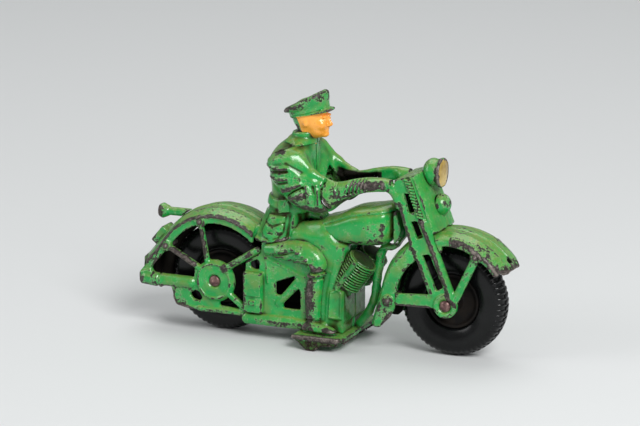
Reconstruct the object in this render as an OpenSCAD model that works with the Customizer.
// Cast toy motorcycle with a seated rider, made as two mirrored half castings on two loose wheels.
// Millimetres, +X is the way the toy faces, +Z is up, the seam of the two halves is the plane Y = 0.
// Side view points are written at the nominal size and scaled by the sizes below.

/* [Overall] */
// Outside diameter of both tyres, the side view scales with it
wheel_d = 50; // [40:1:62]
// Distance between the two axles
wheelbase = 112; // [92:1:136]
// Width over the flat side faces of the two castings
body_w = 25; // [22:0.5:30]
// Wall of the castings
wall = 2.2; // [1.8:0.1:2.7]

/* [Wheels] */
// Width of a tyre
tyre_w = 12; // [10:0.5:13]
// Diameter of the wheel disc inside the tyre
hub_d = 25; // [22:0.5:29]
// Diameter of the axle pins
axle_d = 4.4; // [3.6:0.1:5.2]
// Running gap between axle and wheel disc, on the radius
run_gap = 0.06; // [0.03:0.01:0.09]
// Diameter of the heads peened on the axles
axle_head_d = 5.6; // [5.2:0.1:6.2]

/* [Guards] */
// Height of the guard crown over the tyre
guard_rise = 7.8; // [6.5:0.1:9]
// Height of the side lip on the rear guard
lip_h = 0.8; // [0.5:0.1:1.2]
// Diameter of the rivet shanks
rivet_d = 2.4; // [2:0.1:3]
// Diameter of the domed rivet heads
rivet_head_d = 4; // [3.6:0.1:4.6]
// Diameter of the pull string hole in the front guard
string_d = 3; // [2:0.1:3.6]

/* [Fork] */
// Number of coils in the cast spring relief on each fork leg
coil_count = 13; // [8:1:16]
// Diameter of the headlamp rim
lamp_d = 13.4; // [10:0.2:15]
// Diameter of the horn disc
horn_d = 10; // [8:0.5:11]

/* [Body] */
// Width of one foot board from the seam
board_w = 22.5; // [19:0.5:26]
// Thickness of the foot boards
board_t = 1.7; // [1.4:0.1:2.4]
// How far the toolbox stands out from the frame
box_out = 3; // [1.5:0.5:4]
// Number of fins on the engine cylinder
fin_count = 12; // [5:1:14]

/* [Hidden] */
$fn = 64;
kz = wheel_d / 50;
rear_join = -37;
front_join = 33.4;
kx = (wheelbase - (rear_join + 52 + 60 - front_join) * kz) / (front_join - rear_join);
ky = body_w / 25;
mid_x = 4.43;
rear_x = mid_x - wheelbase / 2;
front_x = mid_x + wheelbase / 2;
axle_z = wheel_d / 2;
hw = body_w / 2;
hin = hw - wall;
frame_in = hin - 0.5;
frame_out = hw - 0.5;
board_z = 6.9 * kz;
crown_r = axle_z + guard_rise;
bead_r = crown_r + 0.6;
bead_w = 1.5;
band_r = axle_z + 1.5;
edge_r = axle_z + 5;
head_h = 1.3;
boss_r = rivet_head_d / 2 + 0.7;
boss_out = hw + lip_h + 0.3;
tail_a = 143;
kick = 3;
front_tail_a = 168;
tail_l = 16.6 * kz;
rake = 22.2;
face_l = 31 * kz;
coat_back = m(-33.2, 0)[0];
arm_in = 12.9 * ky;
hem_tilt = atan(tan(8) * kz / kx);
green = [0.20, 0.62, 0.28];
iron = [0.33, 0.30, 0.28];
rubber = [0.08, 0.08, 0.09];
flesh = [0.90, 0.58, 0.25];

// Side view points: r() and f() stay with their wheel, m() stretches between the rear and the front group.
function m(x, z) = [rear_x + (rear_join + 52) * kz + (x - rear_join) * kx, z * kz];
function r(x, z) = [rear_x + (x + 52) * kz, z * kz];
function f(x, z) = [front_x + (x - 60) * kz, z * kz];

// Four corners of a flat bar of width w from p to q.
function bar(p, q, w) =
  let (d = q - p, n = [-d[1], d[0]] * w / (2 * norm(d)))
  [p + n, p - n, q - n, q + n];

// Power that keeps the sign, for rounded box sections.
function spow(v, e) = sign(v) * pow(abs(v), e);

// One closed section: centre c in the side view, tilt of its long axis, half sizes a and b,
// roundness n and distance y from the seam.
function ring(c, tilt, a, b, n, y = 0, count = 28) = [
  for (i = [0 : count - 1])
    let (t = 360 * i / count, u = a * spow(cos(t), 2 / n), v = b * spow(sin(t), 2 / n))
    [c[0] + u * cos(tilt), -y * ky + v * ky, c[1] + u * sin(tilt)]
];

// Solid skinned over a list of sections, turn is true where the sections run against the path.
module loft(rings, turn = false) {
  count = len(rings[0]);
  last = len(rings) - 1;
  sides = [
    for (k = [0 : last - 1], i = [0 : count - 1], h = [0, 1])
      let (j = (i + 1) % count, p = k * count, q = (k + 1) * count)
      h == 0 ? [p + i, q + i, q + j] : [p + i, q + j, p + j]
  ];
  foot = [[for (i = [0 : count - 1]) i]];
  top = [[for (i = [0 : count - 1]) last * count + count - 1 - i]];
  faces = concat(sides, foot, top);
  polyhedron(
    [for (k = rings) for (p = k) p],
    turn ? [for (q = faces) [for (i = [len(q) - 1 : -1 : 0]) q[i]]] : faces,
    6
  );
}

// Keeps a skinned body as one mesh.
module skin() {
  resize([0, 0, 0]) children();
}

// Keeps what lies outside a distance from the seam, on the right hand side.
module outside(y) {
  intersection() {
    children();
    translate([-300, -120 - y, -20]) cube([600, 120, 300]);
  }
}

// Side view outline pulled from y0 to y1 away from the seam, on the right hand side.
module slab(y0, y1) {
  translate([0, -y0, 0]) rotate([90, 0, 0]) linear_extrude(y1 - y0) children();
}

// Round pin across the toy at a side view point.
module across(p, radius, y0, y1) {
  translate([p[0], -y0, p[1]]) rotate([90, 0, 0]) cylinder(r = radius, h = y1 - y0);
}

// Round rod between two side view points at one distance from the seam.
module rod(p, q, radius, y) {
  d = q - p;
  translate([p[0], -y, p[1]]) rotate([0, 90 - atan2(d[1], d[0]), 0]) cylinder(r = radius, h = norm(d));
}

// Half of a turned body with its axis along X, right hand side.
module half_turn(p) {
  translate([p[0], 0, p[1]]) rotate([0, 90, 0]) rotate([0, 0, 180]) rotate_extrude(angle = 180) children();
}

// Arc of a guard section round an axle, angles from straight ahead and upward.
module arc(x, a0, a1) {
  translate([x, 0, axle_z]) rotate([90, 0, 0]) rotate([0, 0, a0])
    rotate_extrude(angle = a1 - a0, $fn = 128) children();
}

// Side view point on the straight tail of a guard: radius d where it leaves the arc at angle a, then t
// along it.
function tail_pt(x, a, d, t) =
  [x, axle_z] + (axle_z + 4) * [cos(a), sin(a)] + (d - axle_z - 4) * [cos(a - kick), sin(a - kick)]
  + t * [-sin(a - kick), cos(a - kick)];

// Straight tail of a guard section that leaves the arc at angle a and kicks out a little.
module run(x, a, l) {
  translate([x, 0, axle_z]) rotate([90, 0, 0]) rotate([0, 0, a]) translate([axle_z + 4, 0, 0])
    rotate([0, 0, -kick])
    translate([-axle_z - 4, l, 0]) rotate([90, 0, 0]) linear_extrude(l + 1) children();
}

module dot(p, radius) {
  translate(p) circle(r = radius);
}

// Left hand half of anything modelled on the right.
module left() {
  mirror([0, 1, 0]) children();
}

/* rear guard */
rear_rivet_1 = r(-59, 51.9);
rear_rivet_2 = r(-76.1, 39.2);
module rear_guard_section() {
  polygon([
    [band_r, hin], [edge_r - 0.9, hin], [crown_r - wall - 0.5, hin - 2.4], [crown_r - wall, 0],
    [bead_r, 0], [bead_r, 0.8], [crown_r, bead_w], [crown_r - 0.5, 0.62 * hw], [crown_r - 1.5, 0.86 * hw],
    [edge_r + 0.2, hw], [edge_r, hw + lip_h], [edge_r - 1, hw + lip_h], [edge_r - 1, hw], [band_r, hw]
  ]);
}

module rear_guard_r() {
  color(green) difference() {
    union() {
      arc(rear_x, 42, tail_a) rear_guard_section();
      run(rear_x, tail_a, tail_l) rear_guard_section();
      across(rear_rivet_1, boss_r, hin + 0.4, boss_out);
      across(rear_rivet_2, boss_r, hin + 0.4, boss_out);
      translate([rear_x, 0, axle_z]) rotate([90, 0, 0]) rotate([0, 0, tail_a - kick])
        translate([crown_r - 1, 3, 0]) cube([4.5 * kz, 9 * kz, 5 * ky]);
      slab(0.05, hin - 0.4) polygon([r(-88.5, 32.4), r(-85.6, 33.6), r(-86.9, 22), r(-89.1, 22)]);
    }
    across(rear_rivet_1, rivet_d / 2, 0, 2 * hw);
    across(rear_rivet_2, rivet_d / 2, 0, 2 * hw);
    translate([coat_back, -50, 0]) cube([50, 60, 100]);
  }
}

/* rear side plate with hub, stays and silencer */
module rear_field() {
  dot([rear_x, axle_z], band_r);
  polygon([
    tail_pt(rear_x, tail_a, band_r, 0), tail_pt(rear_x, tail_a, band_r, tail_l), r(-83.5, 18), r(-52, 18)
  ]);
}

module rear_plate_shape() {
  difference() {
    union() {
      intersection() {
        rear_field();
        union() {
          polygon(bar(r(-60, 56), r(-55.2, 30), 2.2 * kz));
          polygon(bar(r(-80, 41.4), r(-56, 28.3), 2.5 * kz));
          polygon(bar(r(-50, 29.1), r(-28, 43.1), 3.2 * kz));
        }
      }
      dot([rear_x, axle_z], 9.8 * kz);
      polygon([
        r(-89.5, 21.4), r(-88.6, 20.2), r(-78.4, 19.4), r(-77.4, 20.3), r(-74, 20.3), r(-72.5, 15),
        r(-71, 12),
        r(-66, 10.9), r(-60, 10.6), r(-37, 10.6), r(-37, 13), r(-40, 13), r(-50, 13.6), r(-49.5, 15.8),
        r(-52, 25),
        r(-62, 29.6), r(-62.6, 25.6), r(-82.6, 25.8), tail_pt(rear_x, tail_a, band_r, tail_l),
        tail_pt(rear_x, tail_a, edge_r - 0.6, tail_l), r(-89.5, 26)
      ]);
      polygon(bar(r(-49, 22.5), r(-37, 13.4), 2.6 * kz));
    }
    polygon([r(-64.6, 17.6), r(-62.4, 19.4), r(-59.9, 19.2), r(-58.2, 16.2), r(-60, 14.8), r(-63, 15.4)]);
    dot(rear_rivet_1, boss_r);
    dot(rear_rivet_2, boss_r);
    translate(r(-37, 0)) square([30 * kz, 35.4 * kz]);
  }
}

module rear_plate_r() {
  color(green) difference() {
    union() {
      slab(hin, hw) rear_plate_shape();
      slab(hw - 0.1, hw + 1) polygon([
        r(-89.5, 21.4), r(-88.6, 20.2), r(-78.4, 19.4), r(-77.4, 20.3), r(-63, 20.6), r(-61.5, 22.5),
        r(-63, 25.2),
        r(-82.6, 25.6), r(-84.6, 27.6), r(-89.5, 25.8)
      ]);
      across([rear_x, axle_z], 9 * kz, hw - 0.1, hw + 0.9);
      across(r(-46.6, 31.4), 1.9 * kz, hw - 0.1, hw + 1.2);
    }
    across([rear_x, axle_z], axle_d / 2, 0, 2 * hw);
    across([rear_x, axle_z], axle_head_d / 2 + 0.4, hw, 2 * hw);
  }
}

/* tail lamp on its stalk */
module tail_lamp_r() {
  color(green) difference() {
    half_turn(r(-84.8, 52.2)) polygon([
      [0, 0], [2.9 * kz, 0], [3.6 * kz, 1.6 * kz], [2.5 * kz, 4.4 * kz], [2 * kz, 5 * kz],
      [2 * kz, 18 * kz],
      [0, 18 * kz]
    ]);
    translate([rear_x, 20, axle_z]) rotate([90, 0, 0]) cylinder(r = bead_r, h = 40, $fn = 128);
  }
}

/* middle frame: web, lower rail, toolbox */
module frame_shape() {
  difference() {
    polygon([
      r(-37, 6.9), r(-37, 35.44), r(-29.62, 40.13), m(-29, 45.94), m(-14, 48.05), m(-13.2, 48.2),
      m(-12.8, 53), m(-4, 53.3), m(1, 52), m(5, 49.4), m(8, 46.5),
      m(7, 40), m(5, 32), m(3, 24), m(2.2, 13), m(2.2, 6.9)
    ]);
    polygon([r(-34.8, 35.3), r(-31.4, 36.9), r(-30.2, 36.3), r(-30.2, 32.2), r(-33, 32.2), r(-34.8, 33.4)]);
    polygon([m(-22.3, 21.5), m(-22.3, 27.3), m(-12.7, 31.2), m(-12, 30.4), m(-19, 21.5)]);
    polygon([m(-10.4, 25.8), m(-10, 15.6), m(-18.6, 15.6), m(-18.6, 18)]);
  }
}

module frame_r() {
  color(green) difference() {
    union() {
      slab(frame_in, frame_out) frame_shape();
      slab(frame_in - 0.6, hw + 0.8) polygon([
        r(-37, 6.9), r(-37, 11.8), m(-13, 11.8), m(-12, 11), m(2.2, 11), m(2.2, 6.9)
      ]);
      slab(frame_in, frame_out + box_out)
        polygon([r(-37, 12.6), r(-27.8, 12.6), r(-27.8, 31.5), r(-37, 31.5)]);
      slab(frame_in, frame_out + box_out + 0.5)
        polygon([r(-34, 16), r(-31, 16), r(-31, 18.6), r(-34, 18.6)]);
    }
    slab(frame_out + box_out - 0.5, hw + 9)
      polygon([r(-38, 19.2), r(-27, 19.2), r(-27, 19.8), r(-38, 19.8)]);
  }
}

/* foot board with the stand under its outer edge */
module footboard_r() {
  color(green) {
    difference() {
      translate([m(-10, 0)[0], -board_w, board_z - board_t]) cube([24.5 * kx, board_w, board_t]);
      translate([m(14.5, 0)[0], -board_w, -1]) rotate([0, 0, 45]) cube([4, 4, 40], center = true);
    }
    slab(board_w - 5, board_w - 0.6) polygon([
      m(-9.4, 5.5), m(-3, 0), m(0.6, 0), m(4.4, 2.7), m(11.8, 3.2), m(11.8, 5.5)
    ]);
    for (i = [0 : 7])
      translate([m(12.2, 0)[0], -2.6 - i * (board_w - 5) / 8, 3.6 * kz])
        cube([1.9 * kx, 1, 6.7 * kz - board_t - 3.4 * kz]);
  }
}

/* engine: crankcase, cover, finned cylinder, push rod tube */
cyl_p = m(8.2, 26.6);
cyl_q = m(20.2, 42.8);
module engine_r() {
  l = norm(cyl_q - cyl_p);
  step = (l - 5) / fin_count;
  color(green) difference() {
    union() {
      slab(0, hw) polygon([
        m(2.2, 6.9), m(2.2, 13), m(3, 24), m(5, 32), m(7, 40), m(8, 46.5), m(11.5, 46.8), m(11, 36),
        m(10.5, 27),
        f(19, 27), f(19, 22.6), f(15.4, 15.2), f(11, 11.6), f(11, 6.9)
      ]);
      slab(hw - 0.1, hw + 0.7)
        polygon([m(4.6, 13.5), m(10.4, 13.5), m(10.8, 26), m(9, 27.4), m(5.4, 25.6)]);
      difference() {
        translate([cyl_p[0], -6.6 * ky, cyl_p[1]])
          rotate([0, 90 - atan2(cyl_q[1] - cyl_p[1], cyl_q[0] - cyl_p[0]), 0])
          rotate_extrude() polygon(concat(
            [[0, 0], [6 * kz, 0], [6 * kz, 4]],
            [for (i = [0 : fin_count - 1], h = [0 : 3])
              [(h == 1 || h == 2 ? 7 : 6) * kz, 4 + step * (i + [0, 0.05, 0.5, 0.55][h])]],
            [[6 * kz, 4.6 + step * fin_count], [5.2 * kz, l], [0, l]]
          ));
        slab(frame_in - 0.05, 2 * hw) polygon([
          m(-20, 6), m(2.1, 13), m(2.9, 24), m(4.9, 32), m(6.9, 40), m(7.9, 46.5), m(-20, 46.5)
        ]);
      }
      rod(m(8.6, 28.5), m(18.6, 42), 1.3 * kz, 6.6 * ky + 6.8 * kz);
    }
    translate([-100, 0, 0]) cube([200, 100, 100]);
    downtube_r();
  }
}

/* steering head and front down tube */
module downtube_r() {
  color(green) {
    slab(0, 2.8 * ky) polygon([
      f(11, 6.9), f(11, 10.4), f(15, 13.5), f(18.6, 20), f(20.2, 28), f(21.2, 34), f(22.4, 44.5),
      f(28.6, 47.2), f(33.4, 48.6), f(33.4, 65),
      f(34.6, 66), f(37.5, 57), f(36.6, 52), f(32.4, 46), f(27.6, 43.6),
      f(25.4, 40.6), f(24.2, 34), f(23.7, 29),
      f(23.6, 26), tail_pt(front_x, front_tail_a, bead_r, 6 * kz),
      tail_pt(front_x, front_tail_a, bead_r, 11.6 * kz),
      f(23.1, 20.6), f(20, 13.5), f(15.6, 8.4), f(13, 6.9)
    ]);
    slab(0.1, 8.6 * ky) polygon([f(33.5, 49.4), f(33.5, 64), f(34.6, 65), f(37.2, 57), f(36.3, 52.4)]);
  }
}

/* fuel tank */
function tank_rings(w) = [
  ring(m(-8.4, 53.9), 90, 1.6 - w, 6.8 - w, 2.4),
  ring(m(-4.6, 53.8), 90, 2.4 - w, 8 - w, 2.5),
  ring(m(-0.5, 53.7), 90, 4 - w, 9.5 - w, 2.6),
  ring(m(6, 54.4), 90, 6.9 - w, 11.5 - w, 3),
  ring(m(14, 56.2), 90, 8.9 - w, 12.7 - w, 3.3),
  ring(m(22, 57), 90, 9.6 - w, 12.9 - w, 3.3),
  ring(m(28.6, 57.7), 90, 9.4 - w, 11.8 - w, 3),
  ring(m(31.6, 58.4), 90, 7.6 - w, 9 - w, 2.5),
  ring(m(33.4, 58.8), 90, 5 - w, 5.4 - w, 2.2)
];

module tank_r() {
  color(green) skin() outside(0) difference() {
    loft(tank_rings(0), true);
    loft([for (k = [2 : 7]) tank_rings(wall)[k]], true);
  }
}

/* springer fork side with front face and stem */
fork_top = f(43, 82.5);
module fork_outline() {
  polygon([
    f(35.5, 80), f(43, 82.5), f(65.2, 28), f(60, 25), f(54.6, 25), f(52.6, 28.6), f(46, 45), f(43, 52),
    f(40, 60),
    f(37.4, 70), f(36.6, 75), f(35.5, 76.6)
  ]);
  dot([front_x, axle_z], 5.5 * kz);
}

module fork_legs() {
  difference() {
    fork_outline();
    polygon([f(39.8, 74.8), f(42.2, 74), f(44.9, 66.4), f(42.5, 65.4)]);
    polygon([f(43.2, 61.8), f(46.2, 62.4), f(49.3, 55.3), f(46.4, 54)]);
    polygon([f(48.8, 47), f(52.2, 47.9), f(58.9, 33.3), f(55.6, 31.4)]);
  }
}

module fork_stays() {
  difference() {
    union() {
      polygon(bar(f(64.4, 27.5), f(76, 52.2), 3.2 * kz));
      polygon([f(33, 28.2), f(56, 29.6), f(56, 23.4), f(33, 22.8)]);
    }
    difference() {
      dot([front_x, axle_z], 50 * kz);
      dot([front_x, axle_z], band_r - 0.5);
    }
    translate([front_x - 50 * kz, 0]) square([26 * kz, 60 * kz]);
    dot(front_rivet_1, boss_r);
    dot(front_rivet_2, boss_r);
  }
}

module fork_r() {
  color(green) difference() {
    union() {
      slab(hin, hw) fork_legs();
      slab(hin, hw) fork_stays();
      difference() {
        rotate_about(fork_top, rake) translate([0, 0, -face_l]) linear_extrude(face_l) polygon([
          [-0.6, -hw + 0.2], [1.2, -hw + 0.2], [2.4, -0.8 * hw], [3, -0.4 * hw], [3.2, 0], [1, 0],
          [0.6, -0.5 * hw],
          [-0.6, -hin]
        ] * kz);
        across([front_x, axle_z], crown_r + 0.1, -hw, 2 * hw);
      }
      slab(0, hin + 0.1)
        polygon([f(35.5, 77), f(35.5, 80), f(43, 82.5), f(45.6, 81.4), f(46.4, 79.2), f(44, 78.4)]);
      slab(0, 3.8 * ky)
        polygon([f(34.6, 66), f(37.5, 57), f(41.4, 58.4), f(38.6, 67.4), f(38.6, 78), f(35.5, 78)]);
      for (i = [0 : coil_count - 1])
        rotate_about(fork_top, rake) translate([-2.6 * kz, -hw - 0.5, (-2 - i * 18 / coil_count) * kz])
          rotate([0, 12, 0]) cube([2.5 * kz, 0.7, 0.75 * kz]);
      across([front_x, axle_z], 5.5 * kz, hw - 0.1, hw + 0.9);
    }
    across([front_x, axle_z], axle_d / 2, 0, 2 * hw);
    across([front_x, axle_z], axle_head_d / 2 + 0.4, hw, 2 * hw);
    translate([front_x, 20, axle_z]) rotate([90, 0, 0])
      cylinder(r = crown_r + 0.02, h = 20 + hin, $fn = 128);
    translate([front_x, 20, axle_z]) rotate([90, 0, 0])
      cylinder(r = bead_r + 0.02, h = 20 + bead_w, $fn = 128);
  }
}

/* the space behind the fork's smooth front face, up to a height above the fork's top */
module fork_front(above) {
  rotate_about(fork_top, rake) translate([0, 0, -45 * kz]) linear_extrude(45 * kz + above) polygon([
    [-9, -hw], [1.2, -hw], [2.4, -0.8 * hw], [3, -0.4 * hw], [3.2, 0], [3.2, 1], [-9, 1]
  ] * kz);
}

module rotate_about(p, a) {
  translate([p[0], 0, p[1]]) rotate([0, -a, 0]) children();
}

/* handlebar end from the fork crown to the hand */
module handlebar_r() {
  color(green) slab(hin - 1.2, hw + 0.6) polygon([
    f(31, 75.6), f(31, 79), f(35.5, 77.6), f(35.5, 74.2), f(33.4, 75.2)
  ]);
}

/* front guard */
front_rivet_1 = f(74.3, 48.8);
front_rivet_2 = f(32.7, 24.7);
module front_guard_section(side) {
  polygon([
    [crown_r - wall - 0.7, hin], [crown_r - wall - 0.2, 0.55 * hw], [crown_r - wall, 0],
    [bead_r, 0], [bead_r, 0.8], [crown_r, bead_w], [crown_r - 0.4, 0.6 * hw], [crown_r - 1.2, hin],
    [crown_r - 1.9, 0.9 * hw], [edge_r, side], [edge_r - 1.4, side], [edge_r - 1.4, hin]
  ]);
}

module front_band() {
  difference() {
    union() {
      intersection() {
        difference() {
          dot([front_x, axle_z], edge_r - 1.3);
          dot([front_x, axle_z], band_r + 0.6);
        }
        polygon([[front_x, axle_z], f(110, 58), f(110, 90), f(50, 90)]);
      }
      intersection() {
        difference() {
          dot([front_x, axle_z], edge_r - 1.3);
          dot([front_x, axle_z], axle_z - 1);
        }
        polygon([[front_x, axle_z], f(55, 90), f(0, 90), f(0, 37.54)]);
      }
      polygon([
        tail_pt(front_x, front_tail_a, edge_r - 1.3, -1), f(37, 30.4), f(36.4, 26), f(35.5, 21),
        f(33.4, 16.8),
        tail_pt(front_x, front_tail_a, band_r + 0.8, 19.6 * kz),
        tail_pt(front_x, front_tail_a, edge_r - 1.3, 19.6 * kz)
      ]);
      dot(front_rivet_1, boss_r);
      dot(front_rivet_2, boss_r);
    }
    fork_outline();
    fork_stays();
  }
}

module front_guard_r() {
  color(green) difference() {
    intersection() {
      union() {
        difference() {
          union() {
            arc(front_x, 31, front_tail_a) front_guard_section(hw);
            run(front_x, front_tail_a, 20 * kz) front_guard_section(hw - 0.08);
          }
          slab(hin - 0.05, hw + 5) fork_outline();
        }
        slab(hin + 0.15, hw - 0.15) front_band();
        across(front_rivet_1, boss_r, hin + 0.4, boss_out);
        across(front_rivet_2, boss_r, hin + 0.4, boss_out);
      }
      union() {
        translate([front_x - 50 * kz, -40, 0]) cube([65.5 * kz, 40, 100]);
        translate([front_x + 15.5 * kz, 0, 0]) scale([kz, ky, 1]) cylinder(r = 14, h = 100, $fn = 96);
      }
    }
    across(front_rivet_1, rivet_d / 2, 0, 2 * hw);
    across(front_rivet_2, rivet_d / 2, 0, 2 * hw);
    translate([front_x, 0, axle_z]) rotate([0, 51, 0]) cylinder(d = string_d, h = 60);
  }
}

/* headlamp and horn */
module headlamp_r() {
  color(green) difference() {
    half_turn(f(44.6, 82.4)) polygon([
      [0, 0], [1.6, 0], [2.2, 1.4], [2, 2.6], [lamp_d / 2 - 1.6, 5], [lamp_d / 2 - 0.5, 7.6],
      [lamp_d / 2, 8.4],
      [lamp_d / 2, 9.4], [lamp_d / 2 - 0.8, 9.4], [lamp_d / 2 - 0.8, 9], [2.8, 9.9], [0, 10.2]
    ] * kz);
    slab(-1, hw) polygon([f(35.5, 70), f(35.5, 80), f(43, 82.5), f(45.6, 81.4), f(46.4, 79.2), f(54, 60)]);
    fork_front(0.02);
  }
}

module horn_r() {
  color(green) difference() {
    half_turn(f(48, 68)) polygon([
      [0, 0], [1.8, 0], [1.8, 3.4], [horn_d / 2 - 0.5, 3.8], [horn_d / 2, 4.7], [horn_d / 2 - 0.3, 6],
      [horn_d / 2 - 1.2, 7.6], [horn_d / 2 - 2.7, 8.9], [0, 9.6]
    ] * kz);
    fork_front(15 * kz);
  }
}

/* rider: coat */
function coat_rings(w) = [
  ring(m(-24.3, 46.6), hem_tilt, 10.8 - w, 14.2 - w, 2.5),
  ring(m(-22.4, 51.4), 6, 10.4 - w, 13.8 - w, 2.5),
  ring(m(-20.4, 56), 3, 10 - w, 13.2 - w, 2.5),
  ring(m(-18.8, 60.2), 0, 9.9 - w, 12.3 - w, 2.5),
  ring(m(-18.4, 60.8), 0, 10.6 - w, 12.9 - w, 2.5),
  ring(m(-17.6, 65.2), 0, 10.3 - w, 12.8 - w, 2.5),
  ring(m(-17.3, 65.8), 0, 9.6 - w, 12.2 - w, 2.5),
  ring(m(-17.1, 71), 0, 9.7 - w, 12.3 - w, 2.5),
  ring(m(-17.4, 78), 0, 10.4 - w, 13.4 - w, 2.4),
  ring(m(-17.2, 84), 0, 10.2 - w, 13.4 - w, 2.3),
  ring(m(-16, 88.4), 0, 8.9 - w, 11.4 - w, 2.2),
  ring(m(-14.2, 91.6), 0, 6.9 - w, 8.4 - w, 2.1),
  ring(m(-12.8, 93.4), 0, 5.4 - w, 5.9 - w, 2),
  ring(m(-12.3, 95.4), 4, 5.2 - w, 5.5 - w, 2)
];

module coat_r() {
  color(green) skin() difference() {
    outside(0) loft(coat_rings(0));
    loft([for (k = [1 : 11]) coat_rings(wall)[k]]);
    translate([-100, -100 - arm_in, 66.5 * kz]) cube([200, 100, 30 * kz]);
    translate([coat_back - 50, -50, 0]) cube([50, 60, 57 * kz]);
    translate([m(-8.8, 0)[0], -50, 0]) cube([50, 60, 60 * kz]);
  }
}

/* rider: sleeve, gauntlet and hand, hollow towards the seam */
function arm_rings(w) = [
  ring(m(-16.8, 89.2), 18, 6 - w, 5.8 - w, 2.2, 11.2, 22),
  ring(m(-15, 85.8), 22, 9.4 - w, 8.2 - w, 2.2, 11, 22),
  ring(m(-12.9, 80.8), 28, 10.4 - w, 9 - w, 2.2, 10.9, 22),
  ring(m(-9.8, 75.4), 40, 9.6 - w, 9 - w, 2.2, 10.9, 22),
  ring(m(-6.2, 71), 62, 8.6 - w, 8.7 - w, 2.2, 10.9, 22),
  ring(m(-1, 68.4), 92, 7 - w, 7.8 - w, 2.2, 10.8, 22),
  ring(m(2.6, 69), 101, 6.2 - w, 7.2 - w, 2.2, 10.6, 22),
  ring(m(3, 69.1), 101, 6.8 - w, 7.8 - w, 2.2, 10.6, 22),
  ring(m(9, 71.3), 107, 5.4 - w, 6.5 - w, 2.3, 10.6, 22),
  ring(m(14, 73.2), 108, 4.6 - w, 5.8 - w, 2.4, 10.6, 22),
  ring(m(18, 74.9), 106, 4.1 - w, 5.4 - w, 2.6, 10.8, 22),
  ring(m(23, 76.4), 100, 3.6 - w, 5.2 - w, 2.6, 11, 22),
  ring(m(28, 77.2), 94, 3.1 - w, 4.6 - w, 2.4, 11.2, 22),
  ring(f(31, 77.3), 90, 2.4 - w, 3.4 - w, 2.2, 11.4, 22)
];

module arm_r() {
  color(green) skin() intersection() {
    difference() {
      loft(arm_rings(0), true);
      loft([for (k = [1 : 9]) arm_rings(wall)[k]], true);
    }
    union() {
      translate([-100, -50 - arm_in, 0]) cube([200, 50, 150]);
      translate([m(-6.2, 0)[0], -50 - hin + 0.6, 0]) cube([100, 50, 150]);
    }
  }
}

/* rider: breeches, boot and foot */
leg_y = 11.5;
module leg_form() {
  loft([
    ring(m(-27, 42.6), 88, 2.6, 3, 2.2, leg_y, 22),
    ring(m(-20, 42.6), 90, 4.2, 4.2, 2.3, leg_y, 22),
    ring(m(-10, 42.8), 84, 5.4, 5.2, 2.4, leg_y, 22),
    ring(m(-4, 40.8), 62, 5.4, 5.4, 2.4, leg_y, 22),
    ring(m(-0.8, 37.2), 30, 4.7, 5.2, 2.3, leg_y, 22),
    ring(m(-1.6, 32.6), 4, 3.8, 4.6, 2.3, leg_y, 22),
    ring(m(-3, 26), -2, 4, 4.6, 2.3, leg_y, 22),
    ring(m(-3.4, 18), 0, 3.7, 4.3, 2.3, leg_y, 22),
    ring(m(-3.2, 12), 0, 3.6, 4.2, 2.3, leg_y, 22),
    ring(m(-3.2, 7.6), 0, 3.6, 4.2, 2.3, leg_y, 22)
  ], true);
  loft([
    ring(m(-7.2, 8.4), 90, 1.2, 2, 2.6, 15.2, 18),
    ring(m(-6, 8.5), 90, 2, 2.6, 2.6, 15.2, 18),
    ring(m(1, 8.5), 90, 2.2, 2.8, 2.6, 15.4, 18),
    ring(m(6.4, 8.1), 90, 1.6, 2.8, 2.6, 15.6, 18),
    ring(m(9, 7.8), 90, 1, 1.8, 2.4, 15.6, 18)
  ], true);
}

module leg_r() {
  color(green) skin() difference() {
    outside(frame_out) leg_form();
    translate([m(-24.3, 0)[0], 0, 46.6 * kz]) rotate([0, -hem_tilt, 0]) translate([-20, -50, 0])
      cube([31.4, 60, 20]);
    translate([-100, -hw - 0.8, 0]) cube([200, 50, 11.8 * kz]);
    translate([-100, -100, 0]) cube([200, 100, board_z]);
  }
}

/* rider: head and cap */
module head_form() {
  loft([
    ring(m(-11.6, 92.4), 4, 4.6, 4.6, 2),
    ring(m(-11.2, 95.5), 4, 4.8, 4.8, 2),
    ring(m(-10.6, 97), 6, 6.6, 5.2, 2.1),
    ring(m(-10, 99), 4, 7.8, 6.2, 2.2),
    ring(m(-9.8, 102), 4, 8.4, 6.7, 2.2),
    ring(m(-9.9, 106), 8, 8.3, 6.7, 2.2)
  ]);
  loft([
    ring(m(-6.4, 93.2), 10, 3.4, 3.2, 2.2),
    ring(m(-6.8, 95), 8, 4.8, 4.8, 2.2),
    ring(m(-6.4, 99), 4, 5.2, 5.6, 2.2),
    ring(m(-6.2, 105), 8, 5.2, 5.6, 2.2)
  ]);
  loft([
    ring(m(-2, 97.6), 0, 1.9, 1.5, 2),
    ring(m(-1.8, 98.8), 0, 1.7, 1.3, 2),
    ring(m(-2, 103), 0, 0.8, 0.8, 2)
  ]);
  loft([
    ring(m(-10.1, 103.9), 15, 9.5, 7.6, 2.2),
    ring(m(-10.8, 106.8), 16, 9.7, 7.8, 2.2),
    ring(m(-11.8, 108.6), 25, 11, 9, 2.2),
    ring(m(-12.2, 109.4), 27, 11.1, 9.1, 2.2),
    ring(m(-12.6, 110.5), 28, 9.9, 8, 2.2)
  ]);
  loft([
    ring(m(-4.2, 105.2), 17, 5.2, 6.6, 2),
    ring(m(-4.4, 106.4), 17, 5.4, 6.8, 2)
  ]);
}

module head_r() {
  color(flesh) skin() difference() {
    outside(0) head_form();
    coat_r();
  }
}

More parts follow.
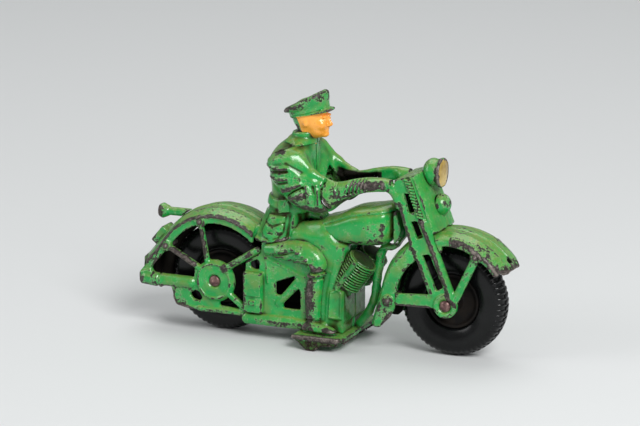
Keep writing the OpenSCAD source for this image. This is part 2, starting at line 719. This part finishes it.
/* wheels */
module tyre(x) {
  color(rubber) translate([x, 0, axle_z]) rotate([90, 0, 0]) rotate_extrude($fn = 128) {
    s = tyre_w / 2;
    difference() {
      union() {
        translate([axle_z - 0.62 * s - 5.2 * kz, -s]) square([5.2 * kz, tyre_w]);
        intersection() {
          translate([axle_z - 0.62 * s, 0]) scale([0.62, 1]) circle(r = s);
          translate([0, -s]) square([axle_z, tyre_w]);
        }
        translate([hub_d / 2, -0.8 * s]) square([axle_z - 0.62 * s - hub_d / 2, 1.6 * s]);
      }
      translate([0, -s]) square([hub_d / 2, tyre_w]);
    }
  }
}

module hub(x) {
  color(iron) translate([x, 0, axle_z]) rotate([90, 0, 0]) rotate_extrude() {
    b = axle_d / 2 + run_gap;
    polygon([
      [b, -hin + 0.5], [b + 2, -hin + 0.5], [b + 2, -2.2], [hub_d / 2 - 2.4, -2.2],
      [hub_d / 2 - 1.6, -0.34 * tyre_w],
      [hub_d / 2, -0.34 * tyre_w], [hub_d / 2, 0.34 * tyre_w], [hub_d / 2 - 1.6, 0.34 * tyre_w],
      [hub_d / 2 - 2.4, 2.2], [b + 2, 2.2], [b + 2, hin - 0.5], [b, hin - 0.5]
    ]);
  }
}

module axle(x) {
  color(iron) translate([x, hw + head_h, axle_z]) rotate([90, 0, 0]) rotate_extrude() polygon([
    [0, 0], [axle_head_d / 2 - 1.1, 0.2], [axle_head_d / 2 - 0.3, 0.6], [axle_head_d / 2, head_h],
    [axle_d / 2, head_h], [axle_d / 2, body_w + head_h], [axle_head_d / 2, body_w + head_h],
    [axle_head_d / 2 - 0.3, body_w + 2 * head_h - 0.6], [axle_head_d / 2 - 1.1, body_w + 2 * head_h - 0.2],
    [0, body_w + 2 * head_h]
  ]);
}

/* four rivets that hold the halves together */
module rivet(p) {
  l = 2 * boss_out;
  h = rivet_head_d / 3.4;
  translate([p[0], l / 2 + h, p[1]]) rotate([90, 0, 0]) rotate_extrude($fn = 32) polygon([
    [0, 0], [0.25 * rivet_head_d, 0.2 * h], [0.44 * rivet_head_d, 0.6 * h], [rivet_head_d / 2, h],
    [rivet_d / 2, h],
    [rivet_d / 2, l + h], [rivet_head_d / 2, l + h], [0.44 * rivet_head_d, l + 1.4 * h],
    [0.25 * rivet_head_d, l + 1.8 * h], [0, l + 2 * h]
  ]);
}

module rivets() {
  color(iron) {
    rivet(rear_rivet_1);
    rivet(rear_rivet_2);
    rivet(front_rivet_1);
    rivet(front_rivet_2);
  }
}

rear_guard_r();
left() rear_guard_r();  // rear_guard_l
rear_plate_r();
left() rear_plate_r();  // rear_plate_l
tail_lamp_r();
left() tail_lamp_r();  // tail_lamp_l
frame_r();
left() frame_r();  // frame_l
footboard_r();
left() footboard_r();  // footboard_l
engine_r();
left() engine_r();  // engine_l
downtube_r();
left() downtube_r();  // downtube_l
tank_r();
left() tank_r();  // tank_l
fork_r();
left() fork_r();  // fork_l
handlebar_r();
left() handlebar_r();  // handlebar_l
front_guard_r();
left() front_guard_r();  // front_guard_l
headlamp_r();
left() headlamp_r();  // headlamp_l
horn_r();
left() horn_r();  // horn_l
coat_r();
left() coat_r();  // coat_l
arm_r();
left() arm_r();  // arm_l
leg_r();
left() leg_r();  // leg_l
head_r();
left() head_r();  // head_l
tyre(front_x);  // front_tyre
tyre(rear_x);  // rear_tyre
hub(front_x);  // front_hub
hub(rear_x);  // rear_hub
axle(front_x);  // front_axle
axle(rear_x);  // rear_axle
rivets();
